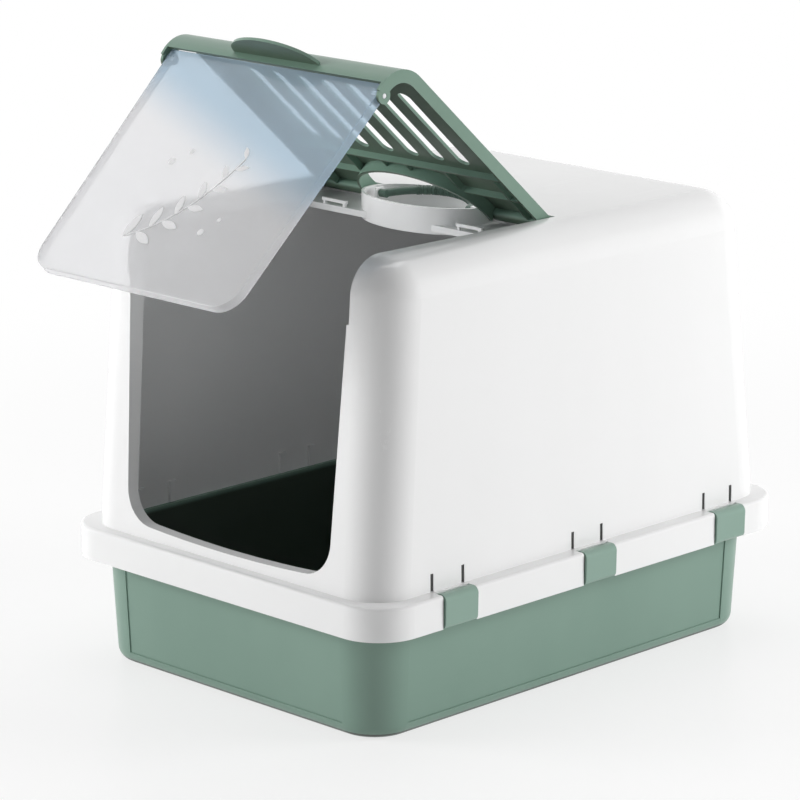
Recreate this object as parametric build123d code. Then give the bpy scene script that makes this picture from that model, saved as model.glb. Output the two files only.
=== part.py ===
"""Covered litter box: green tray, white hood, lifting lid with a clear swing flap, carry handle and six clips.

Millimetres. +Z is up, the entrance faces -Y, and the origin is the centre of the tray's underside.
The lid is modelled closed and then turned about its hinge to the open rest position, with the flap on it.
"""
from build123d import *
from math import atan, degrees
import os

os.makedirs("parts", exist_ok=True)

# Walls and clearances
wall = 3.0
running_gap = 0.05
swing_gap = 2.0

# Tray
tray_height = 133.0
tray_draft = 7.5
tray_corner = 40.0
tray_bottom_round = 13.0
panel_recess = 1.0
panel_margin = 42.0
rim_reach = 9.5
rim_side_room = 8.75
rim_end_room = 3.0
rim_drop = 26.0
rim_wall = 2.5
foot_depth = 1.5
foot_margin = 34.0

# Hood skirt and the ledge inside it
skirt_width = 432.5
skirt_length = 570.0
skirt_corner = 45.0
skirt_bottom = 104.4
skirt_round = 3.0
ledge_thick = 3.0

# Hood walls, from the ledge to the roof
hood_top = 443.6
ledge_side = 16.25
ledge_front = 13.5
ledge_rear = 9.5
side_lean = 5.0
front_lean = 21.5
rear_lean = 33.5
hood_corner = 42.0
roof_round = 36.0

# Entrance and the roof opening that runs on from it
sill_rise = 9.0
sill_sag = 5.5
entrance_half_low = 136.5
entrance_half_high = 146.5
entrance_top_drop = 18.6
entrance_corner = 34.0
return_depth_low = 12.0
return_depth_high = 19.0
opening_rear = 13.0
rail_width = 44.5
rail_depth = 18.0

# Deck behind the opening, with the oval handle well
deck_drop = 15.6
deck_lip = -42.0
lip_drop = 6.0
well_half_width = 76.0
well_half_depth = 46.0
well_centre = -4.0
well_rim_rise = 0.9
well_wall = 2.5
well_depth = 25.5
stop_bar_length = 33.0
stop_bar_place = 90.0
stop_bar_size = 3.0
stop_bar_height = 6.0

# Lid, in its closed place
lid_open_angle = 41.8
hinge_y = 6.0
hinge_radius = 6.0
hinge_pin = 3.0
hinge_pin_reach = 4.2
lid_rear_room = 2.3
lid_front_room = 2.3
lid_front_lap = 8.0
lid_front_round = 34.0
lid_front_drop = 30.0
lid_flange = 12.0
slot_count = 7
slot_pitch = 33.0
slot_width = 15.0
slot_front = -192.0
slot_rear = -76.0
arch_gap = 4.0
rib_thick = 2.0
rib_depth = 6.4
long_rib_y = -66.0
short_rib_y = -32.0
tab_half_width = 56.0
tab_reach = 25.0
tab_height = 14.0

# Flap and its pins
flap_pin_inset = 9.5
flap_pin_drop = 38.6
flap_pin = 2.5
flap_ear = 5.0
arm_ear = 7.5
flap_sill_room = 8.5
flap_above_pin = 9.0
flap_bottom_room = 3.5
flap_side_gap = 0.8
flap_wall = 2.2
flap_edge_depth = 9.0
flap_corner = 24.0
flap_lean = 4.6

# Carry handle
handle_side_room = 18.0
handle_bow = 33.0
handle_radius = 4.0
handle_pin = 2.0
handle_drop = 5.5
handle_lug = 5.0
handle_tilt = 8.0
grip_share = 0.52
grip_ribs = 9
grip_rib_depth = 0.7

# Clips, three on each long side
clip_width = 42.0
clip_pitch = 189.0
clip_shift = 8.0
clip_gap = 1.0
clip_axis_inset = 6.25
clip_axis_drop = 3.5
clip_barrel = 4.0
clip_pin = 2.0
clip_pin_reach = 4.0
clip_bow = 2.8
clip_wall = 2.5
clip_bend = 6.5
cheek = 6.0
slit_spacing = 40.3
slit_width = 4.0
slit_height = 17.0
slit_depth = 2.2


# Sizes that follow from the ones above
tray_bottom_width = skirt_width - 2 * (wall + rim_side_room + rim_reach + tray_draft)
tray_bottom_length = skirt_length - 2 * (wall + rim_end_room + rim_reach + tray_draft)
ledge_top = tray_height + ledge_thick
foot_half_width = skirt_width / 2 - ledge_side
foot_front = ledge_front - skirt_length / 2
foot_rear = skirt_length / 2 - ledge_rear
roof_half_width = foot_half_width - side_lean
roof_front = foot_front + front_lean
roof_rear = foot_rear - rear_lean
sill_middle = ledge_top + sill_rise
sill_end = sill_middle + sill_sag
entrance_high = hood_top - entrance_top_drop
opening_half_rear = roof_half_width - rail_width
deck_top = hood_top - deck_drop
well_rim = hood_top + well_rim_rise
well_base = well_rim - well_depth
lid_half_rear = opening_half_rear - lid_rear_room
lid_half_front = entrance_half_high - lid_front_room
lid_front = roof_front - lid_front_lap
flap_pin_y = lid_front + flap_pin_inset
flap_pin_z = hood_top - flap_pin_drop
flap_length = flap_pin_z - sill_end - flap_sill_room
flap_half_bottom = entrance_half_low - flap_bottom_room
handle_half = well_half_width - handle_side_room
handle_z = well_rim - handle_drop


def save(shape, name):
    shape.label = name
    export_step(shape, f"parts/{name}.step")


def plan(half_width, front, rear, corner, z):
    return Pos(0, (front + rear) / 2, z) * RectangleRounded(2 * half_width, rear - front, corner)


def prism_y(face, front, rear):
    """A face drawn in X and Z, filled from front to rear."""
    return extrude(Plane.XZ.offset(-rear) * face, amount=rear - front)


def prism_x(face, low, high):
    """A face drawn in Y and Z, filled from low to high."""
    return extrude(Plane.YZ.offset(low) * face, amount=high - low)


def rod_x(radius, low, high, y, z):
    return Pos((low + high) / 2, y, z) * Rot(0, 90, 0) * Cylinder(radius, high - low)


def mirrored(shape):
    return shape + mirror(shape, Plane.YZ)


def drafted(low, high, z_low, z_high, corner):
    """A box with leaning sides and rounded corners. low and high are its half width, front and rear."""
    across = make_face(Polyline(
        (-low[0], z_low), (low[0], z_low), (high[0], z_high), (-high[0], z_high), (-low[0], z_low)
    ))
    along = make_face(Polyline(
        (low[1], z_low), (low[2], z_low), (high[2], z_high), (high[1], z_high), (low[1], z_low)
    ))
    body = prism_y(across, low[1] - 50, low[2] + 50) & prism_x(along, -low[0] - 50, low[0] + 50)
    uprights = [edge for edge in body.edges() if abs(edge.tangent_at(0).Z) > 0.5]
    return fillet(uprights, corner)


# Tray
tray_taper = degrees(atan(tray_draft / tray_height))
tray_top_width = tray_bottom_width + 2 * tray_draft
tray_top_length = tray_bottom_length + 2 * tray_draft


def tray_body(inset, bottom, top):
    spread = tray_draft * bottom / tray_height - inset
    half_width, half_length = tray_bottom_width / 2 + spread, tray_bottom_length / 2 + spread
    base = plan(half_width, -half_length, half_length, tray_corner + spread, bottom)
    body = extrude(base, top - bottom, taper=-tray_taper)
    floor_edges = body.faces().sort_by(Axis.Z)[0].edges()
    return fillet(floor_edges, max(tray_bottom_round - inset, 2.0))


panel_width = tray_bottom_width - 2 * panel_margin
panel_length = tray_bottom_length - 2 * panel_margin
panel_zone = Pos(0, 0, tray_height / 2) * (
    Box(panel_width, 2 * tray_top_length, 2 * tray_height) + Box(2 * tray_top_width, panel_length, 2 * tray_height)
)
tray_outer = tray_body(0, 0, tray_height)
tray_outer -= (tray_outer - tray_body(panel_recess, 0, tray_height)) & (
    panel_zone & (Pos(0, 0, tray_height / 2 + tray_bottom_round) * Box(1000, 1000, tray_height))
)
rim_half_width = tray_top_width / 2 + rim_reach
rim_half_length = tray_top_length / 2 + rim_reach
rim_corner = tray_corner + tray_draft + rim_reach
rim = extrude(plan(rim_half_width, -rim_half_length, rim_half_length, rim_corner, tray_height - rim_drop), rim_drop)
rim_inside = extrude(
    plan(
        rim_half_width - rim_wall, rim_wall - rim_half_length, rim_half_length - rim_wall, rim_corner - rim_wall,
        tray_height - rim_drop,
    ),
    rim_drop - rim_wall,
)
tray = tray_outer + (rim - rim_inside) - tray_body(wall, wall, tray_height + 1)
foot_hollow = extrude(
    RectangleRounded(
        tray_bottom_width - 2 * foot_margin, tray_bottom_length - 2 * foot_margin, tray_corner / 2
    ),
    foot_depth,
)
tray -= foot_hollow
save(tray, "tray")


# Hood
def hood_sizes(z, inset):
    k = (z - ledge_top) / (hood_top - ledge_top)
    half_width = foot_half_width + (roof_half_width - foot_half_width) * k - inset
    front = foot_front + (roof_front - foot_front) * k + inset
    rear = foot_rear + (roof_rear - foot_rear) * k - inset
    return half_width, front, rear


def hood_body(inset, bottom):
    top = hood_top - inset
    body = drafted(hood_sizes(bottom, inset), hood_sizes(top, inset), bottom, top, hood_corner - inset)
    return fillet(body.faces().sort_by(Axis.Z)[-1].edges(), roof_round - inset)


def entrance_half(z):
    k = (z - sill_end) / (entrance_high - sill_end)
    return entrance_half_low + (entrance_half_high - entrance_half_low) * k


def entrance(outset):
    """The front opening in X and Z, a sagging sill between leaning jambs."""
    top = hood_top + 40
    half_low, half_top = entrance_half(sill_end) + outset, entrance_half(top) + outset
    low, mid = sill_end - outset, sill_middle - outset
    outline = ThreePointArc((-half_low, low), (0, mid), (half_low, low)) + Polyline(
        (half_low, low), (half_top, top), (-half_top, top), (-half_low, low)
    )
    face = make_face(outline)
    return fillet(face.vertices().sort_by(Axis.Y)[:2], entrance_corner + outset)


def roof_opening(outset, bottom):
    """The opening in the roof, wider to the rear, open to the front."""
    front = roof_front - 60
    half_front = entrance_half(hood_top) + outset
    half_rear = opening_half_rear + outset
    rear = opening_rear + outset
    face = make_face(Polyline(
        (-half_front, front), (half_front, front), (half_rear, rear), (-half_rear, rear), (-half_front, front)
    ))
    return extrude(Pos(0, 0, bottom) * face, hood_top + 40 - bottom)


hood_outer = hood_body(0, tray_height)
hood_inner = hood_body(wall, tray_height - 1)

half_width, half_length = skirt_width / 2, skirt_length / 2
skirt = extrude(plan(half_width, -half_length, half_length, skirt_corner, skirt_bottom), ledge_top - skirt_bottom)
skirt = fillet(skirt.faces().sort_by(Axis.Z)[-1].edges(), skirt_round)
skirt_inner = extrude(
    plan(half_width - wall, wall - half_length, half_length - wall, skirt_corner - wall, skirt_bottom),
    tray_height - skirt_bottom,
)
hood = skirt - skirt_inner + hood_outer - hood_inner

# Frame turned in round the entrance and the roof opening, deck, riser and handle well
slope = (roof_front - foot_front) / (hood_top - ledge_top)


def front_face(z):
    return foot_front + (z - ledge_top) * slope


return_zone = prism_x(
    make_face(Polyline(
        (-400, 100), (front_face(sill_middle) + return_depth_low, 100),
        (front_face(sill_middle) + return_depth_low, sill_middle),
        (front_face(entrance_high) + return_depth_high, entrance_high),
        (front_face(entrance_high) + return_depth_high, hood_top + 40), (-400, hood_top + 40), (-400, 100),
    )),
    -250, 250,
)
entrance_frame = (prism_y(entrance(wall), -400, 0) & return_zone) - prism_y(entrance(0), -400, 0)
rail_bottom = hood_top - rail_depth
roof_frame = roof_opening(wall, rail_bottom) - roof_opening(0, rail_bottom - 1)
deck_zone = Pos(0, (deck_lip + opening_rear) / 2, deck_top - wall / 2) * Box(
    2 * opening_half_rear, opening_rear - deck_lip + wall, wall
)
deck = deck_zone & roof_opening(wall / 2, rail_bottom - 10)
deck += Pos(0, deck_lip + wall / 4, deck_top - lip_drop / 2) * Box(
    2 * entrance_half(hood_top), wall / 2, lip_drop
)
frame = (entrance_frame + roof_frame + deck) & hood_outer
hood = hood - prism_y(entrance(0), -400, roof_front + roof_round) - roof_opening(0, deck_top) + frame
cabin_cut = roof_opening(0, hood_top - 60) & (Pos(0, deck_lip - 250, hood_top) * Box(600, 500, 200))
hood -= cabin_cut

well_place = Pos(0, well_centre, well_base)
well_outer = extrude(well_place * Ellipse(well_half_width, well_half_depth), well_rim - well_base)
well_inner = extrude(
    Pos(0, well_centre, well_base + well_wall) * Ellipse(well_half_width - well_wall, well_half_depth - well_wall),
    well_rim,
)
hood = hood + well_outer - well_inner

lug_x = handle_half + handle_radius + swing_gap / 4
lug_height = handle_z + handle_lug - well_base - well_wall / 2
lug = Pos(lug_x + wall / 2, well_centre, handle_z + handle_lug - lug_height / 2) * Box(
    wall, 2 * handle_lug, lug_height
)
lug -= rod_x(handle_pin + running_gap, lug_x - 1, lug_x + wall + 1, well_centre, handle_z)
hood += mirrored(lug)

stop_leg_height = stop_bar_height - stop_bar_size
stop_y = deck_lip + stop_bar_size
stop = Pos(stop_bar_place, stop_y, deck_top + stop_bar_height - stop_bar_size / 2) * Box(
    stop_bar_length, stop_bar_size, stop_bar_size
)
for side in (-1, 1):
    leg_x = stop_bar_place + side * (stop_bar_length / 2 - stop_bar_size)
    stop += Pos(leg_x, stop_y, deck_top + stop_leg_height / 2) * Box(stop_bar_size, stop_bar_size, stop_leg_height)
hood += mirrored(stop)

hinge_z = hood_top - hinge_radius
hinge_hole = rod_x(hinge_pin + running_gap, lid_half_rear, opening_half_rear + wall, hinge_y, hinge_z)
hood -= mirrored(hinge_hole)

# Clip notches with cheeks for the clip pins, and blind slits above them
clip_x = half_width - clip_axis_inset
clip_z = ledge_top - clip_axis_drop
notch_width = clip_width + 2 * clip_gap
notch_depth = clip_axis_inset + clip_barrel + clip_gap
clip_places = [clip_shift + (i - 1) * clip_pitch for i in range(3)]
slit_x = foot_half_width - slit_depth / 2
for y in clip_places:
    notch = Pos(half_width - notch_depth + 20, y, (skirt_bottom + ledge_top) / 2) * Box(
        40, notch_width, ledge_top - skirt_bottom + 10
    )
    cheek_span = half_width - wall - (clip_x - clip_barrel - clip_gap / 2)
    cheek_height = 2.5 * clip_barrel
    for side in (-1, 1):
        cheek_y = y + side * (notch_width + cheek) / 2
        hood += mirrored(Pos(half_width - wall - cheek_span / 2, cheek_y, ledge_top - ledge_thick - cheek_height / 2)
                         * Box(cheek_span, cheek, cheek_height))
        boss_y = y + side * slit_spacing / 2
        boss = Pos(foot_half_width - wall - 1, boss_y, ledge_top + slit_height / 2) * Box(
            4, 2 * slit_width, slit_height + 4
        )
        hood += mirrored(boss)
    hood -= mirrored(notch)
    hole = Pos(clip_x, y, clip_z) * Rot(90, 0, 0) * Cylinder(
        clip_pin + running_gap, notch_width + 2 * (clip_pin_reach + clip_gap)
    )
    hood -= mirrored(hole)
    for side in (-1, 1):
        slit = Pos(slit_x + 5, y + side * slit_spacing / 2, ledge_top + slit_height / 2) * Box(
            slit_depth + 10, slit_width, slit_height
        )
        hood -= mirrored(slit)
save(hood, "hood")


# Clips
clip_foot = tray_height - rim_drop - 0.3
clip_tip = rim_half_width - 1.8
clip_out = half_width + clip_bow
clip_top = clip_z + clip_barrel
outline = make_face(Polyline(
    (clip_x, clip_top), (clip_out, clip_top), (clip_out - 0.8, clip_foot - clip_wall),
    (clip_tip, clip_foot - clip_wall), (clip_tip, clip_foot), (clip_out - clip_wall - 0.8, clip_foot),
    (clip_out - clip_wall, clip_top - clip_wall), (clip_x, clip_top - clip_wall), (clip_x, clip_top),
))


def bend(face, corner, radius):
    return fillet(face.vertices().sort_by_distance((*corner, 0))[0], radius)


outline = bend(outline, (clip_out, clip_top), clip_bend)
outline = bend(outline, (clip_out - clip_wall, clip_top - clip_wall), clip_bend - clip_wall)
outline = bend(outline, (clip_out - 0.8, clip_foot - clip_wall), clip_bend - 1.5)
clip_face = bend(outline, (clip_out - clip_wall - 0.8, clip_foot), clip_bend - clip_wall - 1.5)
clip_body = extrude(Plane.XZ.offset(-clip_width / 2) * clip_face, amount=clip_width)
clip_turn = Pos(clip_x, 0, clip_z) * Rot(90, 0, 0)
clip_body += clip_turn * Cylinder(clip_barrel, clip_width)
clip_body += clip_turn * Cylinder(clip_pin, clip_width + 2 * (clip_gap + clip_pin_reach - 0.3))
for i, y in enumerate(clip_places):
    place = ("front", "middle", "rear")[i]
    right = Pos(0, y, 0) * clip_body
    save(right, f"clip_right_{place}")
    save(mirror(right, Plane.YZ), f"clip_left_{place}")


# Lid
hinge_axis = Axis((0, hinge_y, hinge_z), (-1, 0, 0))


def lid_profile(depth):
    outer, inner = lid_front, lid_front + depth
    face = make_face(Polyline(
        (hinge_y, hood_top), (outer, hood_top), (outer, flap_pin_z), (inner, flap_pin_z),
        (inner, hood_top - depth), (hinge_y, hood_top - depth), (hinge_y, hood_top),
    ))
    outer_bend = face.vertices().sort_by_distance((outer, hood_top, 0))[0]
    face = fillet(outer_bend, lid_front_round)
    inner_bend = face.vertices().sort_by_distance((inner, hood_top - depth, 0))[0]
    return fillet(inner_bend, lid_front_round - depth)


def lid_plan(inset):
    face = make_face(Polyline(
        (-lid_half_front + inset, lid_front - 1), (lid_half_front - inset, lid_front - 1),
        (lid_half_rear - inset, hinge_y), (inset - lid_half_rear, hinge_y),
        (-lid_half_front + inset, lid_front - 1),
    ))
    return extrude(Pos(0, 0, flap_pin_z - 20) * face, hood_top - flap_pin_z + 40)


skin = prism_x(lid_profile(wall), -200, 200) & lid_plan(0)
skin &= Pos(0, lid_front / 2, hood_top - lid_front_drop + 50) * Box(400, 400, 100)
flange = prism_x(lid_profile(lid_flange), -200, 200) & (lid_plan(0) - lid_plan(wall))
lid = skin + flange

ear = rod_x(arm_ear, lid_half_front - wall, lid_half_front - 0.1, flap_pin_y, flap_pin_z)
lid += mirrored(ear)
barrel_start = well_half_width + arch_gap + wall
lid += mirrored(rod_x(hinge_radius, barrel_start, lid_half_rear, hinge_y, hinge_z))
lid += mirrored(rod_x(hinge_pin, lid_half_rear - 1, lid_half_rear + hinge_pin_reach, hinge_y, hinge_z))

tab_face = Pos(0, lid_front + 2) * Ellipse(tab_half_width, tab_reach + 2)
tab_face -= Pos(0, lid_front + 2 + 50) * Rectangle(4 * tab_half_width, 100)
tab = extrude(Pos(0, 0, hood_top - lid_front_round + tab_height) * tab_face, -wall)
lid += tab

rib_low = hood_top - wall - rib_depth
rib_z = hood_top - wall - rib_depth / 2
lid_inside = lid_plan(wall / 2)
ribs = Pos(0, long_rib_y, rib_z) * Box(2 * lid_half_rear, rib_thick, rib_depth)
ribs += Pos(0, short_rib_y, rib_z) * Box(2 * lid_half_rear, rib_thick, rib_depth)
for x in (16, 66, 128):
    rib_end = hinge_y - hinge_radius if x > barrel_start else short_rib_y
    ribs += mirrored(Pos(x, (long_rib_y + rib_end) / 2, rib_z) * Box(rib_thick, rib_end - long_rib_y, rib_depth))
lid += ribs & lid_inside

arch_half_width = well_half_width + arch_gap
arch_half_depth = well_half_depth + arch_gap
arch_bottom = deck_top + 0.6
arch_place = Pos(0, well_centre, arch_bottom)
arch_skirt = extrude(
    arch_place * Ellipse(arch_half_width + wall, arch_half_depth + wall), hood_top - arch_bottom
)
arch_skirt &= Pos(0, hinge_y - 100, hood_top) * Box(400, 200, 60)
arch_hole = extrude(Pos(0, well_centre, arch_bottom - 5) * Ellipse(arch_half_width, arch_half_depth), 40)
lid = lid + arch_skirt - arch_hole

slots = [(i - (slot_count - 1) / 2) * slot_pitch for i in range(slot_count)]
slot_length = slot_rear - slot_front
for x in slots:
    slot = Pos(x, (slot_front + slot_rear) / 2, hood_top - 10) * SlotOverall(slot_length, slot_width, rotation=90)
    lid -= extrude(slot, 20)
lid -= mirrored(rod_x(flap_pin + running_gap, lid_half_front - wall - 1, lid_half_front + 1, flap_pin_y, flap_pin_z))
save(lid.rotate(hinge_axis, lid_open_angle), "lid")


# Flap, drawn flat about its pin line, leant to the front wall and carried by the lid
flap_half_top = lid_half_front - wall - flap_side_gap
flap_outline = make_face(Polyline(
    (-flap_half_bottom, -flap_length), (flap_half_bottom, -flap_length), (flap_half_top, flap_above_pin),
    (-flap_half_top, flap_above_pin), (-flap_half_bottom, -flap_length),
))
flap_outline = fillet(flap_outline.vertices().sort_by(Axis.Y)[:2], flap_corner)
flap_hollow = offset(flap_outline, -flap_wall)
flap_hollow += Pos(0, flap_above_pin) * Rectangle(2 * (flap_half_top - flap_wall), 4 * flap_ear)
flap = prism_y(flap_outline, -flap_edge_depth / 2, flap_edge_depth / 2)
flap -= prism_y(flap_hollow, flap_wall - flap_edge_depth / 2, flap_edge_depth)
flap += mirrored(rod_x(flap_ear, flap_half_top - 4 * flap_wall, flap_half_top, 0, 0))
flap += mirrored(rod_x(flap_pin, flap_half_top - 1, lid_half_front - 0.3, 0, 0))
flap = Pos(0, flap_pin_y, flap_pin_z) * Rot(-flap_lean, 0, 0) * flap
save(flap.rotate(hinge_axis, lid_open_angle), "flap")


# Carry handle, a bow between two lugs in the well, ribbed over its grip
bow = ThreePointArc((handle_half, 0), (0, handle_bow), (-handle_half, 0))
handle_plane = Plane(origin=bow @ 0, z_dir=bow % 0)
handle = sweep(handle_plane * Circle(handle_radius), path=bow)
for i in range(grip_ribs):
    t = 0.5 + (i - (grip_ribs - 1) / 2) * grip_share / (grip_ribs - 1)
    rib_plane = Plane(origin=bow @ t, z_dir=bow % t)
    handle += rib_plane * Cylinder(handle_radius + grip_rib_depth, 2.6)
end_cap = rod_x(handle_radius, handle_half - handle_radius, handle_half + handle_radius, 0, 0)
handle += mirrored(end_cap)
pin_end = lug_x + wall + 0.5
handle = Rot(handle_tilt, 0, 0) * handle
handle += mirrored(rod_x(handle_pin, handle_half, pin_end, 0, 0))
save(Pos(0, well_centre, handle_z) * handle, "carry_handle")
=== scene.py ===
import math

import bmesh
import bpy
from mathutils import Matrix, Vector


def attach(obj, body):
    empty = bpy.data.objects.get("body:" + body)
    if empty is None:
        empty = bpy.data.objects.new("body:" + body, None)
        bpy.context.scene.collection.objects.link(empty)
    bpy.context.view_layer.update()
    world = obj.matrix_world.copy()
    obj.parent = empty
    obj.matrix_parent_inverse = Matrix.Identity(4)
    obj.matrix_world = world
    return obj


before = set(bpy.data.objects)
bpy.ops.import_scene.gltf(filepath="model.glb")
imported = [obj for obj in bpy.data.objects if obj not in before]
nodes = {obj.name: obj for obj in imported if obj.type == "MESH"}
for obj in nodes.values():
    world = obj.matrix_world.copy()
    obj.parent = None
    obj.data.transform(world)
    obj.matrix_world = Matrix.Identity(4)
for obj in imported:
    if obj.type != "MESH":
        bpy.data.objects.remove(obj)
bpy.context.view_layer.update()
print("frame loaded:", len(nodes), "moulded parts")

# short forms for nodes, in materials and geometry alike


def setOrLink(tree, socket, value):
    if isinstance(value, (int, float)):
        socket.default_value = value
    else:
        tree.links.new(value, socket)


def mathNode(tree, operation, *values, clamp=False):
    node = tree.nodes.new("ShaderNodeMath")
    node.operation = operation
    node.use_clamp = clamp
    for socket, value in zip(node.inputs, values):
        setOrLink(tree, socket, value)
    return node.outputs[0]


def rampNode(tree, value, low, high, lowOut=0.0, highOut=1.0):
    # a smooth step, that starts at low and is complete at high
    node = tree.nodes.new("ShaderNodeMapRange")
    node.interpolation_type = "SMOOTHSTEP"
    labels = ("Value", "From Min", "From Max", "To Min", "To Max")
    for label, number in zip(labels, (value, low, high, lowOut, highOut)):
        setOrLink(tree, node.inputs[label], number)
    return node.outputs["Result"]


def noiseNode(tree, vector, scale, detail=2.0, roughness=0.5):
    node = tree.nodes.new("ShaderNodeTexNoise")
    node.inputs["Detail"].default_value = detail
    node.inputs["Roughness"].default_value = roughness
    tree.links.new(vector, node.inputs["Vector"])
    setOrLink(tree, node.inputs["Scale"], scale)
    return node.outputs["Fac"]


def splitNode(tree, vector):
    node = tree.nodes.new("ShaderNodeSeparateXYZ")
    tree.links.new(vector, node.inputs[0])
    return node.outputs["X"], node.outputs["Y"], node.outputs["Z"]


def objectPlace(tree):
    return tree.nodes.new("ShaderNodeTexCoord").outputs["Object"]


# camera, floor and studio light

camera = {
    "place": (2.4644265, -2.5266627, 1.1460937),
    "heading": 44.749,  # degrees from +Y towards -X
    "down": 14.362,
    "lens": 169.07,
    "sensor": 36.0,
    "nearest": 0.05,
    "farthest": 60.0,
}

studio = {
    "ambient": 0.19,  # world light on the parts; the eye, gloss and clear plastic see plain white
    "floorSize": 9.0,
    "floorWhite": 0.72,  # share of plain white in the floor as the eye sees it, near the box
    "floorFade": (0.55, 1.6),  # metres from the box, over which the floor turns plain white
    "floorColour": (0.98, 0.98, 0.98, 1),
    "floorGloss": 0.32,
    "floorShine": 0.35,
    "aim": (0.0, 0.0, 0.25),
    "shownInGloss": "topSoftbox",
    "lights": {
        # degrees from the front towards +X, degrees up, distance, width, height, watts
        "rightSoftbox": (133, 14, 3.2, 1.6, 1.8, 76),
        "frontSoftbox": (-45, 14, 3.2, 1.6, 1.8, 77),
        "topSoftbox": (225, 74, 2.6, 1.8, 1.8, 22),
    },
}


def placeCamera(settings):
    lensData = bpy.data.cameras.new("productCamera")
    lensData.lens = settings["lens"]
    lensData.sensor_width = settings["sensor"]
    lensData.clip_start, lensData.clip_end = settings["nearest"], settings["farthest"]
    eye = bpy.data.objects.new("productCamera", lensData)
    eye.location = settings["place"]
    eye.rotation_euler = (math.radians(90 - settings["down"]), 0, math.radians(settings["heading"]))
    bpy.context.scene.collection.objects.link(eye)
    bpy.context.scene.camera = eye


def seenShare(tree, share):
    # share of plain white for rays that show the background
    path = tree.nodes.new("ShaderNodeLightPath")
    shown = mathNode(tree, "ADD", path.outputs["Is Camera Ray"], path.outputs["Is Glossy Ray"])
    shown = mathNode(tree, "ADD", shown, path.outputs["Is Transmission Ray"], clamp=True)
    return mathNode(tree, "MULTIPLY", shown, share)


def lightStudio(settings):
    world = bpy.data.worlds.new("studioWorld")
    world.use_nodes = True
    bpy.context.scene.world = world
    tree = world.node_tree
    tree.nodes.clear()
    soft = tree.nodes.new("ShaderNodeBackground")
    soft.inputs["Strength"].default_value = settings["ambient"]
    seen = tree.nodes.new("ShaderNodeBackground")
    seen.inputs["Strength"].default_value = 1.0
    for back in (soft, seen):
        back.inputs["Color"].default_value = (1, 1, 1, 1)
    mix = tree.nodes.new("ShaderNodeMixShader")
    out = tree.nodes.new("ShaderNodeOutputWorld")
    tree.links.new(seenShare(tree, 1.0), mix.inputs[0])
    tree.links.new(soft.outputs[0], mix.inputs[1])
    tree.links.new(seen.outputs[0], mix.inputs[2])
    tree.links.new(mix.outputs[0], out.inputs["Surface"])

    aim = Vector(settings["aim"])
    for name, (heading, rise, distance, width, height, watts) in settings["lights"].items():
        lamp = bpy.data.lights.new(name, "AREA")
        lamp.shape = "RECTANGLE"
        lamp.size, lamp.size_y = width, height
        lamp.energy = watts
        around, up = math.radians(heading), math.radians(rise)
        away = Vector((math.sin(around) * math.cos(up), -math.cos(around) * math.cos(up), math.sin(up)))
        holder = bpy.data.objects.new(name, lamp)
        holder.location = aim + away * distance
        holder.rotation_euler = (-away).to_track_quat("-Z", "Y").to_euler()
        holder.visible_camera = False
        holder.visible_transmission = False
        holder.visible_glossy = name == settings["shownInGloss"]
        bpy.context.scene.collection.objects.link(holder)


def layFloor(settings):
    half = settings["floorSize"] / 2
    mesh = bpy.data.meshes.new("studioFloor")
    corners = [(-half, -half, 0), (half, -half, 0), (half, half, 0), (-half, half, 0)]
    mesh.from_pydata(corners, [], [(0, 1, 2, 3)])
    floor = bpy.data.objects.new("studioFloor", mesh)
    bpy.context.scene.collection.objects.link(floor)
    material = bpy.data.materials.new("studioPaper")
    material.use_nodes = True
    tree = material.node_tree
    tree.nodes.clear()
    paper = tree.nodes.new("ShaderNodeBsdfPrincipled")
    paper.inputs["Base Color"].default_value = settings["floorColour"]
    paper.inputs["Roughness"].default_value = settings["floorGloss"]
    paper.inputs["Specular IOR Level"].default_value = settings["floorShine"]
    white = tree.nodes.new("ShaderNodeEmission")
    white.inputs["Color"].default_value = (1, 1, 1, 1)
    white.inputs["Strength"].default_value = 1.0
    away = tree.nodes.new("ShaderNodeVectorMath")
    away.operation = "LENGTH"
    tree.links.new(objectPlace(tree), away.inputs[0])
    fade = rampNode(tree, away.outputs["Value"], *settings["floorFade"], lowOut=settings["floorWhite"])
    mix = tree.nodes.new("ShaderNodeMixShader")
    out = tree.nodes.new("ShaderNodeOutputMaterial")
    tree.links.new(seenShare(tree, fade), mix.inputs[0])
    tree.links.new(paper.outputs[0], mix.inputs[1])
    tree.links.new(white.outputs[0], mix.inputs[2])
    tree.links.new(mix.outputs[0], out.inputs["Surface"])
    mesh.materials.append(material)


bpy.context.scene.view_settings.view_transform = "Standard"
placeCamera(camera)
lightStudio(studio)
layFloor(studio)
print("studio ready")

# shared surface effects, as shader groups

skinPattern = {
    "flowStretch": (1.0, 1.0, 0.35),  # plastic flows up the walls
    "flowNoise": (3.0, 0.55),  # detail and roughness, here and below
    "flowRange": (0.3, 0.7),
    "reliefNoise": (1.0, 0.4),
}

wearPattern = {
    "patchNoise": (4.0, 0.6),
    "patchRange": (0.52, 0.72),
    "hairTurn": (0.5, 0.7, 0.3),
    "hairStretch": (1.0, 0.04, 0.3),
    "hairNoise": (5.0, 0.7),
    "hairRange": (0.60, 0.68),
}


def newGroup(name, inputs, outputs):
    group = bpy.data.node_groups.new(name, "ShaderNodeTree")
    for label, kind, value in inputs:
        socket = group.interface.new_socket(name=label, in_out="INPUT", socket_type="NodeSocket" + kind)
        if value is not None:
            socket.default_value = value
    for label, kind in outputs:
        group.interface.new_socket(name=label, in_out="OUTPUT", socket_type="NodeSocket" + kind)
    return group, group.nodes.new("NodeGroupInput"), group.nodes.new("NodeGroupOutput")


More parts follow.
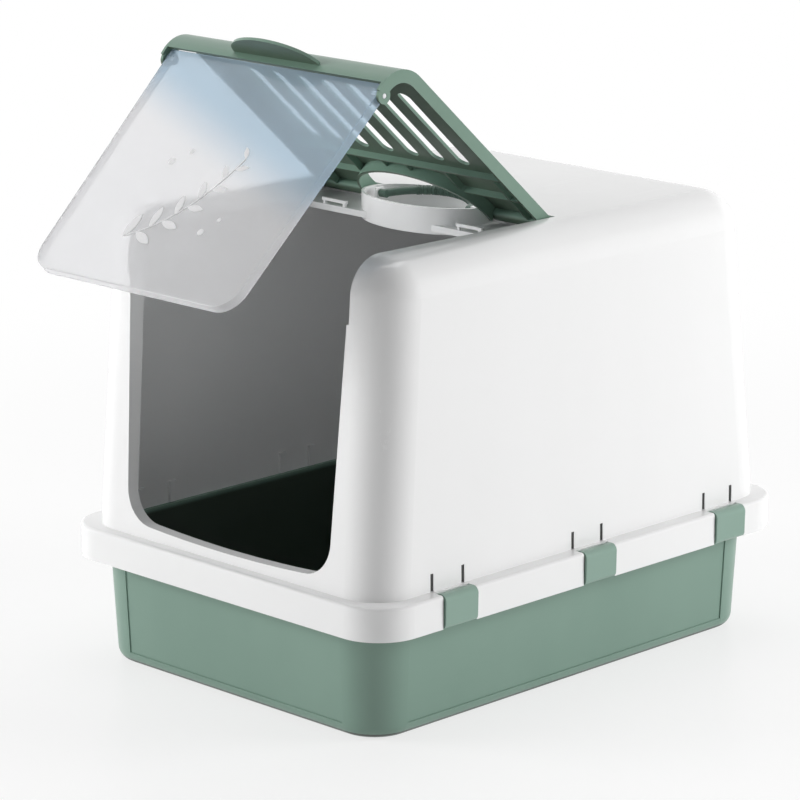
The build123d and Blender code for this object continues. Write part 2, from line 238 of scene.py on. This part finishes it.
def makeMouldedSkin():
    # flow marks for the colour, and a fine grain on a slow ripple for the relief
    group, source, sink = newGroup(
        "mouldedSkin",
        [("Place", "Vector", None), ("Flow Scale", "Float", 5.0), ("Grain Scale", "Float", 900.0),
         ("Ripple Scale", "Float", 14.0), ("Grain Share", "Float", 0.4)],
        [("Flow", "Float"), ("Height", "Float")],
    )
    stretch = group.nodes.new("ShaderNodeMapping")
    stretch.inputs["Scale"].default_value = skinPattern["flowStretch"]
    group.links.new(source.outputs["Place"], stretch.inputs["Vector"])
    flow = noiseNode(group, stretch.outputs[0], source.outputs["Flow Scale"], *skinPattern["flowNoise"])
    grain = noiseNode(group, source.outputs["Place"], source.outputs["Grain Scale"], *skinPattern["reliefNoise"])
    ripple = noiseNode(group, source.outputs["Place"], source.outputs["Ripple Scale"], *skinPattern["reliefNoise"])
    fine = mathNode(group, "MULTIPLY", grain, source.outputs["Grain Share"])
    height = mathNode(group, "ADD", ripple, fine)
    group.links.new(rampNode(group, flow, *skinPattern["flowRange"]), sink.inputs["Flow"])
    group.links.new(height, sink.inputs["Height"])
    return group


def makeHandlingMarks():
    # hairlines and rubbed patches that only show in the gloss
    group, source, sink = newGroup(
        "handlingMarks",
        [("Place", "Vector", None), ("Patch Scale", "Float", 9.0), ("Hair Scale", "Float", 60.0)],
        [("Rubbed", "Float"), ("Hairlines", "Float")],
    )
    patch = noiseNode(group, source.outputs["Place"], source.outputs["Patch Scale"], *wearPattern["patchNoise"])
    turned = group.nodes.new("ShaderNodeMapping")
    turned.inputs["Rotation"].default_value = wearPattern["hairTurn"]
    turned.inputs["Scale"].default_value = wearPattern["hairStretch"]
    group.links.new(source.outputs["Place"], turned.inputs["Vector"])
    hair = noiseNode(group, turned.outputs[0], source.outputs["Hair Scale"], *wearPattern["hairNoise"])
    group.links.new(rampNode(group, patch, *wearPattern["patchRange"]), sink.inputs["Rubbed"])
    group.links.new(rampNode(group, hair, *wearPattern["hairRange"]), sink.inputs["Hairlines"])
    return group


mouldedSkin = makeMouldedSkin()
handlingMarks = makeHandlingMarks()
print("shader groups ready")

# finishes

moulding = {
    "flowScale": 5.0,
    "grainShare": 0.12,
    "patchScale": 8.0,
    "hairScale": 70.0,
    "hairGloss": 0.05,
    "reliefDepth": 0.002,
    "coatGloss": 0.12,
}

trayFinish = {
    "colour": (0.192, 0.302, 0.245),
    "flowColour": (0.215, 0.330, 0.270),
    "gloss": 0.38,
    "rubbedGloss": 0.46,
    "grainScale": 1100.0,
    "rippleScale": 9.0,
    "bump": 0.10,
    "coat": 0.08,
    "insideShadeColour": (0.040, 0.056, 0.044),  # painted shade: the inside, coloured dark as if in shadow
    "halfWidth": 0.1845,
    "halfLength": 0.2590,
    "corner": 0.037,
    "lean": 0.0564,
    "shadeMargin": 0.0008,
    "shadeFloor": 0.0022,
    "shadeTop": (0.1330, 0.1275),  # fades in from the upper to the lower height
}

hoodFinish = {
    "colour": (0.885, 0.885, 0.885),
    "flowColour": (0.905, 0.905, 0.905),
    "gloss": 0.20,
    "rubbedGloss": 0.27,
    "grainScale": 700.0,
    "rippleScale": 7.0,
    "bump": 0.05,
    "coat": 0.25,
    "slitBottom": (0.1973, 0.1992),  # distance from the middle plane
    "slitHeights": (0.1361, 0.1535),
    "slitMiddle": 0.008,
    "slitReach": 0.215,
    # painted shade inside the blind slits
    "slitShadeColour": (0.22, 0.22, 0.22),
}

lidFinish = {
    "colour": (0.165, 0.268, 0.208),
    "flowColour": (0.185, 0.292, 0.230),
    "gloss": 0.36,
    "rubbedGloss": 0.44,
    "grainScale": 1100.0,
    "rippleScale": 10.0,
    "bump": 0.10,
    "coat": 0.08,
    # painted shade on the lid's underside
    "underShadeColour": (0.075, 0.112, 0.080),
    "underDirection": (0.0, -0.667, -0.745),  # away from the lid's top, at rest
    "underFacing": (0.35, 0.85),
}

clipFinish = {
    "colour": (0.225, 0.345, 0.285),
    "flowColour": (0.250, 0.372, 0.310),
    "gloss": 0.34,
    "rubbedGloss": 0.42,
    "grainScale": 1200.0,
    "rippleScale": 20.0,
    "bump": 0.08,
    "coat": 0.10,
}

handleFinish = {
    "colour": (0.055, 0.105, 0.080),
    "flowColour": (0.068, 0.122, 0.094),
    "gloss": 0.42,
    "rubbedGloss": 0.50,
    "grainScale": 1200.0,
    "rippleScale": 30.0,
    "bump": 0.08,
    "coat": 0.05,
}


def groupNode(tree, group, place, **values):
    node = tree.nodes.new("ShaderNodeGroup")
    node.node_tree = group
    tree.links.new(place, node.inputs["Place"])
    for label, value in values.items():
        node.inputs[label.replace("_", " ")].default_value = value
    return node


def mixColour(tree, share, first, second):
    node = tree.nodes.new("ShaderNodeMix")
    node.data_type = "RGBA"
    sockets = [s for s in node.inputs if s.type == "RGBA"]
    for socket, value in zip(sockets, (first, second)):
        if isinstance(value, tuple):
            socket.default_value = (*value[:3], 1)
        else:
            tree.links.new(value, socket)
    tree.links.new(share, node.inputs["Factor"])
    return [s for s in node.outputs if s.type == "RGBA"][0]


def newMaterial(name):
    material = bpy.data.materials.new(name)
    material.use_nodes = True
    return material, material.node_tree, material.node_tree.nodes["Principled BSDF"]


def addRelief(tree, skin, height, strength):
    bump = tree.nodes.new("ShaderNodeBump")
    bump.inputs["Strength"].default_value = strength
    bump.inputs["Distance"].default_value = moulding["reliefDepth"]
    tree.links.new(height, bump.inputs["Height"])
    tree.links.new(bump.outputs[0], skin.inputs["Normal"])


def addTint(tree, skin, share, colour):
    clean = skin.inputs["Base Color"].links[0].from_socket
    tree.links.new(mixColour(tree, share, clean, colour), skin.inputs["Base Color"])


def mouldedPlastic(name, finish):
    material, tree, skin = newMaterial(name)
    place = objectPlace(tree)
    moulded = groupNode(tree, mouldedSkin, place, Flow_Scale=moulding["flowScale"], Grain_Scale=finish["grainScale"],
                        Ripple_Scale=finish["rippleScale"], Grain_Share=moulding["grainShare"])
    marks = groupNode(tree, handlingMarks, place, Patch_Scale=moulding["patchScale"], Hair_Scale=moulding["hairScale"])
    colour = mixColour(tree, moulded.outputs["Flow"], finish["colour"], finish["flowColour"])
    tree.links.new(colour, skin.inputs["Base Color"])
    wear = mathNode(tree, "MULTIPLY", marks.outputs["Rubbed"], finish["rubbedGloss"] - finish["gloss"])
    hairs = mathNode(tree, "MULTIPLY", marks.outputs["Hairlines"], moulding["hairGloss"])
    rough = mathNode(tree, "ADD", mathNode(tree, "ADD", wear, hairs), finish["gloss"])
    tree.links.new(rough, skin.inputs["Roughness"])
    addRelief(tree, skin, moulded.outputs["Height"], finish["bump"])
    skin.inputs["Coat Weight"].default_value = finish["coat"]
    skin.inputs["Coat Roughness"].default_value = moulding["coatGloss"]
    return material, tree, skin, place


flapFinish = {
    # painted reflection: the upper colour is a blue reflection painted on the clear plastic
    "reflectionBlue": (0.59, 0.735, 0.855),
    "lowerColour": (0.97, 0.97, 0.985),
    "reflectionSlope": 0.246,
    "reflectionHeights": (0.552, 0.508),
    "clearness": 0.61,
    "gloss": 0.05,
    "rubbedGloss": 0.10,
    "patchScale": 10.0,
    "waveScale": 30.0,
    "waveNoise": (1.0, 0.4),
    "bump": 0.16,
    "bend": 1.46,
}


def clearPlastic(name, finish):
    material, tree, skin = newMaterial(name)
    place = objectPlace(tree)
    x, _, z = splitNode(tree, place)
    # painted reflection: a blue reflection runs down from the left end of the pins towards the right edge
    reflectionLine = mathNode(tree, "ADD", z, mathNode(tree, "MULTIPLY", x, finish["reflectionSlope"]))
    lower = rampNode(tree, reflectionLine, *finish["reflectionHeights"])
    tree.links.new(mixColour(tree, lower, finish["reflectionBlue"], finish["lowerColour"]), skin.inputs["Base Color"])
    marks = groupNode(tree, handlingMarks, place, Patch_Scale=finish["patchScale"])
    rubbed = mathNode(tree, "MULTIPLY", marks.outputs["Rubbed"], finish["rubbedGloss"] - finish["gloss"])
    tree.links.new(mathNode(tree, "ADD", rubbed, finish["gloss"]), skin.inputs["Roughness"])
    waves = noiseNode(tree, place, finish["waveScale"], *finish["waveNoise"])
    addRelief(tree, skin, waves, finish["bump"])
    skin.inputs["Transmission Weight"].default_value = finish["clearness"]
    skin.inputs["IOR"].default_value = finish["bend"]
    return material


def shadeTrayInside(tree, skin, place, finish):
    # painted shade: a rounded box just inside the outer wall, wider with height, holds every inner face of the tray,
    # which is darkened as if in shadow
    x, y, z = splitNode(tree, place)
    squares = []
    for along, half in ((x, finish["halfWidth"]), (y, finish["halfLength"])):
        past = mathNode(tree, "SUBTRACT", mathNode(tree, "ABSOLUTE", along), half - finish["corner"])
        past = mathNode(tree, "MAXIMUM", past, 0.0)
        squares.append(mathNode(tree, "MULTIPLY", past, past))
    away = mathNode(tree, "SQRT", mathNode(tree, "ADD", *squares))
    reach = mathNode(tree, "MULTIPLY_ADD", z, finish["lean"], finish["corner"] + finish["shadeMargin"])
    inside = mathNode(tree, "LESS_THAN", away, reach)
    above = mathNode(tree, "GREATER_THAN", z, finish["shadeFloor"])
    below = rampNode(tree, z, *finish["shadeTop"])
    share = mathNode(tree, "MULTIPLY", mathNode(tree, "MULTIPLY", inside, above), below)
    addTint(tree, skin, share, finish["insideShadeColour"])


def shadeUnderside(tree, skin, finish):
    # painted shade: faces turned away from the lid's top are coloured darker, as if in shadow
    facing = tree.nodes.new("ShaderNodeVectorMath")
    facing.operation = "DOT_PRODUCT"
    tree.links.new(tree.nodes.new("ShaderNodeTexCoord").outputs["Normal"], facing.inputs[0])
    facing.inputs[1].default_value = finish["underDirection"]
    addTint(tree, skin, rampNode(tree, facing.outputs["Value"], *finish["underFacing"]), finish["underShadeColour"])


def shadeSlits(tree, skin, place, finish):
    # painted shade: the blind slits over the clips are coloured dark grey, as if in shadow
    x, y, z = splitNode(tree, place)
    side = mathNode(tree, "ABSOLUTE", x)
    along = mathNode(tree, "ABSOLUTE", mathNode(tree, "SUBTRACT", y, finish["slitMiddle"]))
    share = mathNode(tree, "LESS_THAN", along, finish["slitReach"])
    for value, (least, most) in ((side, finish["slitBottom"]), (z, finish["slitHeights"])):
        share = mathNode(tree, "MULTIPLY", share, mathNode(tree, "GREATER_THAN", value, least))
        share = mathNode(tree, "MULTIPLY", share, mathNode(tree, "LESS_THAN", value, most))
    addTint(tree, skin, share, finish["slitShadeColour"])


def dress(node, material):
    mesh = nodes[node].data
    mesh.materials.clear()
    mesh.materials.append(material)


trayMaterial, trayTree, traySkin, trayPlace = mouldedPlastic("traySageGreen", trayFinish)
shadeTrayInside(trayTree, traySkin, trayPlace, trayFinish)
dress("tray", trayMaterial)
hoodMaterial, hoodTree, hoodSkin, hoodPlace = mouldedPlastic("hoodGlossWhite", hoodFinish)
shadeSlits(hoodTree, hoodSkin, hoodPlace, hoodFinish)
dress("hood", hoodMaterial)
lidMaterial, lidTree, lidSkin = mouldedPlastic("lidSageGreen", lidFinish)[:3]
shadeUnderside(lidTree, lidSkin, lidFinish)
dress("lid", lidMaterial)
handleMaterial = mouldedPlastic("handleGreen", handleFinish)[0]
dress("carry_handle", handleMaterial)
clipMaterial = mouldedPlastic("clipLightGreen", clipFinish)[0]
for node in nodes:
    if node.startswith("clip_"):
        dress(node, clipMaterial)
dress("flap", clearPlastic("flapClear", flapFinish))
print("finishes on")

# pieces that repeat, built by Geometry Nodes and kept as plain meshes


def newTree(name, inputs):
    tree = bpy.data.node_groups.new(name, "GeometryNodeTree")
    tree.interface.new_socket(name="Geometry", in_out="INPUT", socket_type="NodeSocketGeometry")
    for label, kind in inputs:
        tree.interface.new_socket(name=label, in_out="INPUT", socket_type="NodeSocket" + kind)
    tree.interface.new_socket(name="Geometry", in_out="OUTPUT", socket_type="NodeSocketGeometry")
    return tree, tree.nodes.new("NodeGroupInput"), tree.nodes.new("NodeGroupOutput")


def finishTree(tree, sink, geometry, material):
    real = tree.nodes.new("GeometryNodeRealizeInstances")
    paint = tree.nodes.new("GeometryNodeSetMaterial")
    paint.inputs["Material"].default_value = material
    tree.links.new(geometry, real.inputs[0])
    tree.links.new(real.outputs[0], paint.inputs["Geometry"])
    tree.links.new(paint.outputs[0], sink.inputs[0])


def keepMesh(name, tree, startMesh, values, place, body):
    builder = bpy.data.objects.new(name + "Builder", startMesh)
    bpy.context.scene.collection.objects.link(builder)
    modifier = builder.modifiers.new("build", "NODES")
    modifier.node_group = tree
    for item in tree.interface.items_tree:
        if item.in_out == "INPUT" and item.name in values:
            modifier[item.identifier] = values[item.name]
    graph = bpy.context.evaluated_depsgraph_get()
    mesh = bpy.data.meshes.new_from_object(builder.evaluated_get(graph), depsgraph=graph)
    bpy.data.objects.remove(builder)
    mesh.transform(place)
    mesh.name = name
    piece = bpy.data.objects.new(name, mesh)
    bpy.context.scene.collection.objects.link(piece)
    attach(piece, body)
    print(name, "made with", len(mesh.polygons), "faces")
    return piece


gripRibs = {
    "count": 25,
    "halfSpan": 0.058,
    "bow": 0.033,
    "share": 0.52,  # of the bow's length, about its middle
    "ringRadius": 0.00432,
    "wireRadius": 0.00048,
    "arcSteps": 96,
    "ringSides": 20,
    "wireSides": 6,
    "pivot": (0.0, -0.004, 0.439),
    "tilt": 8.0,  # degrees about X
}


def ribTree(material):
    tree, source, sink = newTree(
        "gripRibsTree",
        [("Count", "Int"), ("Half Span", "Float"), ("Bow", "Float"), ("Share", "Float"),
         ("Ring Radius", "Float"), ("Wire Radius", "Float")],
    )
    node, link = tree.nodes.new, tree.links.new
    ends = []
    for sign in (1, -1):
        end = node("ShaderNodeCombineXYZ")
        link(mathNode(tree, "MULTIPLY", source.outputs["Half Span"], sign), end.inputs["X"])
        ends.append(end.outputs[0])
    crown = node("ShaderNodeCombineXYZ")
    link(source.outputs["Bow"], crown.inputs["Y"])
    arc = node("GeometryNodeCurveArc")
    arc.mode = "POINTS"
    arc.inputs["Resolution"].default_value = gripRibs["arcSteps"]
    link(ends[0], arc.inputs["Start"])
    link(crown.outputs[0], arc.inputs["Middle"])
    link(ends[1], arc.inputs["End"])
    trim = node("GeometryNodeTrimCurve")
    link(arc.outputs["Curve"], trim.inputs["Curve"])
    trimSockets = [i for i in trim.inputs if i.name in ("Start", "End") and i.enabled]
    for socket, sign in zip(trimSockets, (-0.5, 0.5)):
        link(mathNode(tree, "MULTIPLY_ADD", source.outputs["Share"], sign, 0.5), socket)
    points = node("GeometryNodeCurveToPoints")
    link(trim.outputs[0], points.inputs["Curve"])
    link(source.outputs["Count"], points.inputs["Count"])
    circles = []
    for label, sides in (("Ring Radius", gripRibs["ringSides"]), ("Wire Radius", gripRibs["wireSides"])):
        circle = node("GeometryNodeCurvePrimitiveCircle")
        circle.inputs["Resolution"].default_value = sides
        link(source.outputs[label], circle.inputs["Radius"])
        circles.append(circle.outputs["Curve"])
    rod = node("GeometryNodeCurveToMesh")
    link(circles[0], rod.inputs["Curve"])
    link(circles[1], rod.inputs["Profile Curve"])
    place = node("GeometryNodeInstanceOnPoints")
    link(points.outputs["Points"], place.inputs["Points"])
    link(rod.outputs[0], place.inputs["Instance"])
    link(points.outputs["Rotation"], place.inputs["Rotation"])
    finishTree(tree, sink, place.outputs[0], material)
    return tree


handlePlace = Matrix.Translation(gripRibs["pivot"]) @ Matrix.Rotation(math.radians(gripRibs["tilt"]), 4, "X")
keepMesh(
    "gripRibs", ribTree(handleMaterial), bpy.data.meshes.new("gripRibsStart"),
    {"Count": gripRibs["count"], "Half Span": gripRibs["halfSpan"], "Bow": gripRibs["bow"],
     "Share": gripRibs["share"], "Ring Radius": gripRibs["ringRadius"], "Wire Radius": gripRibs["wireRadius"]},
    handlePlace, "carry_handle",
)

# the frosted leaf print on the flap, in the flap's own flat frame

flapPrint = {
    "pin": (0.0, -0.205453, 0.58293),
    "turn": -46.4,  # degrees about X, from upright to the rest place
    "face": -0.00450,  # outer face
    "film": 0.00025,
    "root": (-0.043, 0.0, -0.196),
    "bend": (0.016, 0.0, -0.168),
    "tip": (0.040, 0.0, -0.093),
    "leaves": 11,
    "leafLength": 0.026,
    "leafWidth": 0.0095,
    "leafAngle": 52.0,
    "leafGrowth": -0.045,  # from each leaf to the next
    "leafFullness": 0.8,
    "leafSteps": (0.08, 0.2, 0.35, 0.5, 0.65, 0.8, 0.92),
    "stemWidth": 0.0016,
    "stemSteps": 40,
    "offFace": 0.00005,  # the back of the leaves, clear of the flap's face
    # across, down from the pin, radius
    "dots": [(-0.046, -0.110, 0.0036), (-0.030, -0.096, 0.0026), (0.044, -0.176, 0.0036), (0.056, -0.160, 0.0024)],
    "colour": (0.79, 0.79, 0.80),
    "speckColour": (0.84, 0.84, 0.85),
    "speckScale": 1400.0,
    "speckDetail": 1.0,
    "speckRange": (0.4, 0.6),
    "gloss": (0.50, 0.62),  # roughness between and on the specks
}


def speckledSkin(name, settings):
    material, tree, skin = newMaterial(name)
    specks = noiseNode(tree, objectPlace(tree), settings["speckScale"], settings["speckDetail"])
    speck = rampNode(tree, specks, *settings["speckRange"])
    tree.links.new(mixColour(tree, speck, settings["colour"], settings["speckColour"]), skin.inputs["Base Color"])
    smooth, rough = settings["gloss"]
    tree.links.new(mathNode(tree, "MULTIPLY_ADD", speck, rough - smooth, smooth), skin.inputs["Roughness"])
    return material


def leafMesh(settings):
    # one leaf lying in X and Z, its stalk at the origin, pointing along +Z
    half, length, film = settings["leafWidth"] / 2, settings["leafLength"], settings["film"]
    right = [(half * math.sin(math.pi * t) ** settings["leafFullness"], length * t) for t in settings["leafSteps"]]
    outline = [(0.0, 0.0)] + right + [(0.0, length)] + [(-x, z) for x, z in reversed(right)]
    count = len(outline)
    points = [(x, y, z) for y in (0.0, -film) for x, z in outline]
    faces = [tuple(reversed(range(count))), tuple(range(count, 2 * count))]
    for i in range(count):
        j = (i + 1) % count
        faces.append((i, j, j + count, i + count))
    mesh = bpy.data.meshes.new("leafStart")
    mesh.from_pydata(points, [], faces)
    return mesh


def sprigTree(material):
    tree, source, sink = newTree(
        "leafSprigTree",
        [("Leaves", "Int"), ("Root", "Vector"), ("Bend", "Vector"), ("Tip", "Vector"),
         ("Leaf Angle", "Float"), ("Leaf Growth", "Float"), ("Stem Width", "Float"), ("Film", "Float")],
    )
    node, link = tree.nodes.new, tree.links.new
    stem = node("GeometryNodeCurveQuadraticBezier")
    stem.inputs["Resolution"].default_value = flapPrint["stemSteps"]
    for label, end in (("Root", "Start"), ("Bend", "Middle"), ("Tip", "End")):
        link(source.outputs[label], stem.inputs[end])
    upright = node("GeometryNodeSetCurveNormal")
    upright.mode = "FREE"
    upright.inputs["Normal"].default_value = (0, 1, 0)
    link(stem.outputs[0], upright.inputs["Curve"])
    profile = node("GeometryNodeCurvePrimitiveQuadrilateral")
    link(source.outputs["Stem Width"], profile.inputs["Height"])
    link(source.outputs["Film"], profile.inputs["Width"])
    ribbon = node("GeometryNodeCurveToMesh")
    ribbon.inputs["Fill Caps"].default_value = True
    link(upright.outputs[0], ribbon.inputs["Curve"])
    link(profile.outputs[0], ribbon.inputs["Profile Curve"])
    points = node("GeometryNodeCurveToPoints")
    link(stem.outputs[0], points.inputs["Curve"])
    link(source.outputs["Leaves"], points.inputs["Count"])
    # each leaf follows the stem's slope in the X and Z plane, leaning left and right by turns
    acrossStem, _, upStem = splitNode(tree, points.outputs["Tangent"])
    slope = mathNode(tree, "ARCTAN2", acrossStem, upStem)
    index = node("GeometryNodeInputIndex").outputs[0]
    side = mathNode(tree, "MULTIPLY_ADD", mathNode(tree, "MODULO", index, 2.0), 2.0, -1.0)
    lean = mathNode(tree, "MULTIPLY", side, source.outputs["Leaf Angle"])
    spin = node("ShaderNodeCombineXYZ")
    link(mathNode(tree, "ADD", slope, lean), spin.inputs["Y"])
    size = mathNode(tree, "MULTIPLY_ADD", index, source.outputs["Leaf Growth"], 1.0)
    place = node("GeometryNodeInstanceOnPoints")
    link(points.outputs["Points"], place.inputs["Points"])
    link(source.outputs["Geometry"], place.inputs["Instance"])
    link(spin.outputs[0], place.inputs["Rotation"])
    link(size, place.inputs["Scale"])
    join = node("GeometryNodeJoinGeometry")
    link(place.outputs[0], join.inputs[0])
    link(ribbon.outputs[0], join.inputs[0])
    finishTree(tree, sink, join.outputs[0], material)
    return tree


discSteps = 24
discProfile = ((1.0, -1.0), (1.0, 0.35), (0.86, 0.75), (0.55, 0.95))  # shares of the radius and of the height


def discPiece(name, discs, material, body):
    # round domed discs: middle, radius, height, and the direction that each one faces
    shape = bmesh.new()
    for middle, radius, height, facing in discs:
        turned = Vector(facing).to_track_quat("Z", "Y").to_matrix().to_4x4()
        place = Matrix.Translation(middle) @ turned
        rings = []
        for share, rise in discProfile:
            ring = []
            for i in range(discSteps):
                angle = 2 * math.pi * i / discSteps
                across = Vector((radius * share * math.cos(angle), radius * share * math.sin(angle), height * rise))
                ring.append(shape.verts.new(place @ across))
            rings.append(ring)
        for lower, upper in zip(rings, rings[1:]):
            for i in range(discSteps):
                j = (i + 1) % discSteps
                shape.faces.new((lower[i], lower[j], upper[j], upper[i]))
        shape.faces.new(rings[-1])
        shape.faces.new(list(reversed(rings[0])))
    bmesh.ops.recalc_face_normals(shape, faces=shape.faces)
    mesh = bpy.data.meshes.new(name)
    shape.to_mesh(mesh)
    shape.free()
    mesh.materials.append(material)
    piece = bpy.data.objects.new(name, mesh)
    bpy.context.scene.collection.objects.link(piece)
    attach(piece, body)
    return piece


flapPlace = Matrix.Translation(flapPrint["pin"]) @ Matrix.Rotation(math.radians(flapPrint["turn"]), 4, "X")
printMaterial = speckledSkin("frostedPrint", flapPrint)
keepMesh(
    "leafPrint", sprigTree(printMaterial), leafMesh(flapPrint),
    {"Leaves": flapPrint["leaves"], "Root": flapPrint["root"], "Bend": flapPrint["bend"], "Tip": flapPrint["tip"],
     "Leaf Angle": math.radians(flapPrint["leafAngle"]), "Leaf Growth": flapPrint["leafGrowth"],
     "Stem Width": flapPrint["stemWidth"], "Film": flapPrint["film"]},
    flapPlace @ Matrix.Translation((0, flapPrint["face"] - flapPrint["offFace"], 0)), "flap",
)
outward = (flapPlace.to_3x3() @ Vector((0, -1, 0)))[:]
dots = []
for x, z, radius in flapPrint["dots"]:
    middle = flapPlace @ Vector((x, flapPrint["face"], z))
    dots.append((middle[:], radius, flapPrint["film"], outward))
discPiece("printDots", dots, printMaterial, "flap")
print("flap print on")

# round ends of the flap's pins, seen in the lid's arms

pinEnds = {
    "reach": 0.14395,
    "radius": 0.0023,
    "height": 0.0005,
    "colour": (0.82, 0.84, 0.86),
    "speckColour": (0.90, 0.91, 0.92),
    "speckScale": 500.0,
    "speckDetail": 2.0,
    "speckRange": (0.35, 0.65),
    "gloss": (0.18, 0.26),  # roughness between and on the specks
}

pins = []
for sign in (1, -1):
    middle = (sign * pinEnds["reach"], *flapPrint["pin"][1:])
    pins.append((middle, pinEnds["radius"], pinEnds["height"], (sign, 0, 0)))
discPiece("flapPinEnds", pins, speckledSkin("pinEndWhite", pinEnds), "flap")
print("pin ends on")
